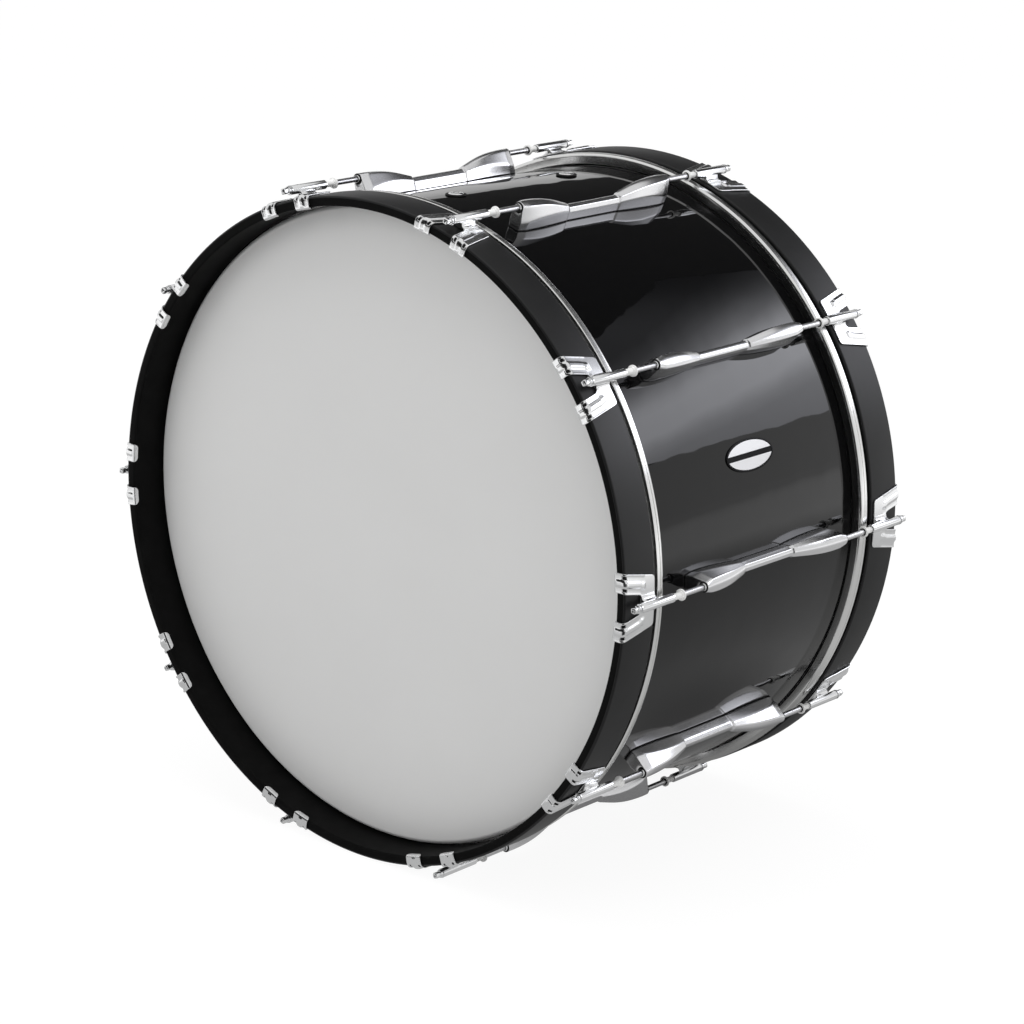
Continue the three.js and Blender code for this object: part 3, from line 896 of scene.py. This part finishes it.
shank_mesh = turned_part([(0, 84.0), (2.1, 84.0), (2.7, 86.0), (2.7, 198.5), (0, 198.5)])
collar_mesh = turned_part([
    (0, 197.3), (4.3, 197.3), (4.5, 197.6), (4.5, 198.3), (4.3, 198.6), (3.3, 198.7), (3.3, 199.3),
    (3.8, 199.6), (3.9, 200.4), (3.6, 200.9), (2.5, 201.1), (2.2, 201.6), (2.2, 203.0), (0, 203.0),
])

bm = bmesh.new()
bmesh.ops.create_cube(bm, size=1)
bmesh.ops.scale(bm, vec=(2 * key_half, key_end - key_start, 2 * key_half), verts=bm.verts)
bmesh.ops.translate(bm, vec=(0, -(key_start + key_end) / 2, rod_line), verts=bm.verts)
bmesh.ops.bevel(bm, geom=bm.edges[:], offset=key_corner, offset_type="OFFSET", segments=5,
                profile=0.5, affect="EDGES", material=-1)
tip_face = min(bm.faces, key=lambda f: f.calc_center_median().y)
bmesh.ops.inset_individual(bm, faces=[tip_face], thickness=tip_rim, depth=0.0)
bmesh.ops.inset_individual(bm, faces=[tip_face], thickness=tip_slope, depth=-tip_depth)
key_mesh = mesh_from(bm)

nylon = material_named("white_nylon", (0.93, 0.93, 0.92), roughness=0.35)
add_tones(nylon, noise(nylon, lumps=250, detail=3), "Base Color",
          low=(0.94, 0.94, 0.93), high=(0.98, 0.98, 0.97))
add_bump(nylon, noise(nylon, lumps=500), strength=0.05, height=0.05 * mm)
bush_mesh = turned_part([
    (2.72, 138.7), (4.9, 138.7), (5.25, 138.9), (5.3, 139.2), (5.3, 140.2), (5.2, 140.5), (4.9, 140.65),
    (4.1, 140.7), (4.05, 141.6), (3.9, 141.9), (3.3, 142.0), (3.0, 142.3), (2.95, 150.8), (2.75, 151.2),
    (2.72, 138.7),
])
hub_mesh = turned_part([
    (2.72, 138.2), (3.3, 138.2), (3.65, 138.5), (3.65, 139.2), (2.72, 139.2), (2.72, 138.2),
])

for end in ends:
    for i, angle in enumerate(lug_angles):
        place = on_drum(angle, end == "rear")
        body = f"{end}_rod_{i + 1}"
        shank = add_piece(f"{end}_rod_shank_{i + 1}", shank_mesh, steel_thread, place, body)
        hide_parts(f"{end}_tension_rod_{i + 1}")
        for part, mesh in (("rod_collar", collar_mesh), ("rod_key_head", key_mesh)):
            add_piece(f"{end}_{part}_{i + 1}", mesh, chrome, place, body)
        add_piece(f"{end}_nylon_bush_{i + 1}", bush_mesh, nylon, place, body)
        add_piece(f"{end}_bush_hub_{i + 1}", hub_mesh, gasket_black, place, body)

# Carrier fittings
# Two chromed bushings through the top of the shell, each with a threaded hole that a
# marching carrier's bracket screws into. A round rubber ring seats each one on the lacquer.

fitting_half_spacing = 80 * mm

# Each profile runs round in (radius, height above the drum's axis) pairs, in millimetres.
fitting_profile = [
    (2.2, 300.0), (2.2, 306.9), (2.5, 307.3), (3.2, 307.55), (5.0, 307.5), (6.6, 307.1), (7.3, 306.5),
    (7.4, 305.9), (7.4, 304.9), (4.0, 304.9), (4.0, 297.0), (12.0, 297.0), (12.0, 292.0), (2.2, 292.0),
    (2.2, 300.0),
]
seal_profile = [
    (7.5, 305.1), (10.1, 305.1), (10.25, 305.5), (9.9, 306.1), (9.0, 306.4), (8.0, 306.4), (7.5, 306.0),
    (7.5, 305.1),
]


def upright_turned(points, along, steps=64):
    """A part turned about an upright line on top of the shell."""
    bm = chain([(radius * mm, along, up * mm) for radius, up in points])
    turn(bm, steps, centre=(0, along, 0), axis=(0, 0, 1))
    return mesh_from(bm)


for end, along in zip(ends, (-fitting_half_spacing, fitting_half_spacing)):
    fitting_mesh = upright_turned(fitting_profile, along)
    bush = add_piece(f"{end}_carrier_bush", fitting_mesh, chrome, on_drum(), "drum")
    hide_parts(f"{end}_carrier_fitting")
    add_piece(f"{end}_carrier_seal", upright_turned(seal_profile, along), gasket_black, on_drum(), "drum")

# Badge
# An oval plate of satin metal in a dark rim, with one dark band along its middle.
# It is bent to the shell and held by its own adhesive.

badge_angle = math.radians(72)
badge_half_length = 34.5 * mm
badge_half_width = 15.2 * mm
badge_along = 2 * mm
badge_base = shell_radius + 0.15 * mm
badge_skin = shell_radius + 1.35 * mm
badge_thickness = 1.0 * mm
rim_width = 1.7 * mm
rim_rise = 0.2 * mm
rim_wall = 0.3 * mm
plate_drop = 0.25 * mm
plate_level = badge_thickness + rim_rise - plate_drop
band_half = 2.6 * mm
band_edge = 0.3 * mm

badge_metal = material_named("badge_satin_plate", (0.8, 0.8, 0.81), roughness=0.38, metallic=0.6)
add_tones(badge_metal, noise(badge_metal, lumps=150, detail=4), "Roughness", low=0.34, high=0.44)
add_bump(badge_metal, noise(badge_metal, lumps=800, detail=3), strength=0.08, height=0.02 * mm)
badge_dark = material_named("badge_dark_rim", (0.006, 0.006, 0.007), roughness=0.45, specular=0.08)
add_tones(badge_dark, noise(badge_dark, lumps=400, detail=3), "Base Color",
          low=(0.005, 0.005, 0.006), high=(0.009, 0.009, 0.01))
add_bump(badge_dark, noise(badge_dark, lumps=800, detail=3), strength=0.1, height=0.02 * mm)

bm = bmesh.new()
bmesh.ops.create_circle(bm, cap_ends=True, radius=1, segments=72)
bmesh.ops.scale(bm, vec=(badge_half_width, badge_half_length, 1), verts=bm.verts)
pushed = bmesh.ops.extrude_face_region(bm, geom=bm.faces[:])["geom"]
top_face = next(item for item in pushed if isinstance(item, bmesh.types.BMFace))
bmesh.ops.translate(bm, vec=(0, 0, badge_thickness), verts=top_face.verts[:])
bmesh.ops.inset_individual(bm, faces=[top_face], thickness=rim_width, depth=rim_rise)
bmesh.ops.inset_individual(bm, faces=[top_face], thickness=rim_wall, depth=-plate_drop)
for offset in (-band_half - band_edge, -band_half, band_half, band_half + band_edge):
    bmesh.ops.bisect_plane(bm, geom=bm.verts[:] + bm.edges[:] + bm.faces[:], dist=1e-7,
                           plane_co=(offset, 0, 0), plane_no=(1, 0, 0))
for face in bm.faces:
    centre = face.calc_center_median()
    on_plate = face.normal.z > 0.5 and abs(centre.z - plate_level) < tiny
    face.material_index = 0 if on_plate and abs(centre.x) > band_half + band_edge / 2 else 1
for vertex in bm.verts:
    turned = vertex.co.x / badge_skin
    radius = badge_base + vertex.co.z
    vertex.co = (radius * math.sin(turned), vertex.co.y + badge_along, radius * math.cos(turned))
bmesh.ops.recalc_face_normals(bm, faces=bm.faces)
badge = add_piece("oval_badge", mesh_from(bm), badge_metal, on_drum(badge_angle), "drum")
badge.data.materials.append(badge_dark)
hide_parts("badge")

# Size
# The drum stands 634 mm high and is 414 mm long over its hoops, and 419 mm over its claws.

bpy.context.view_layer.update()
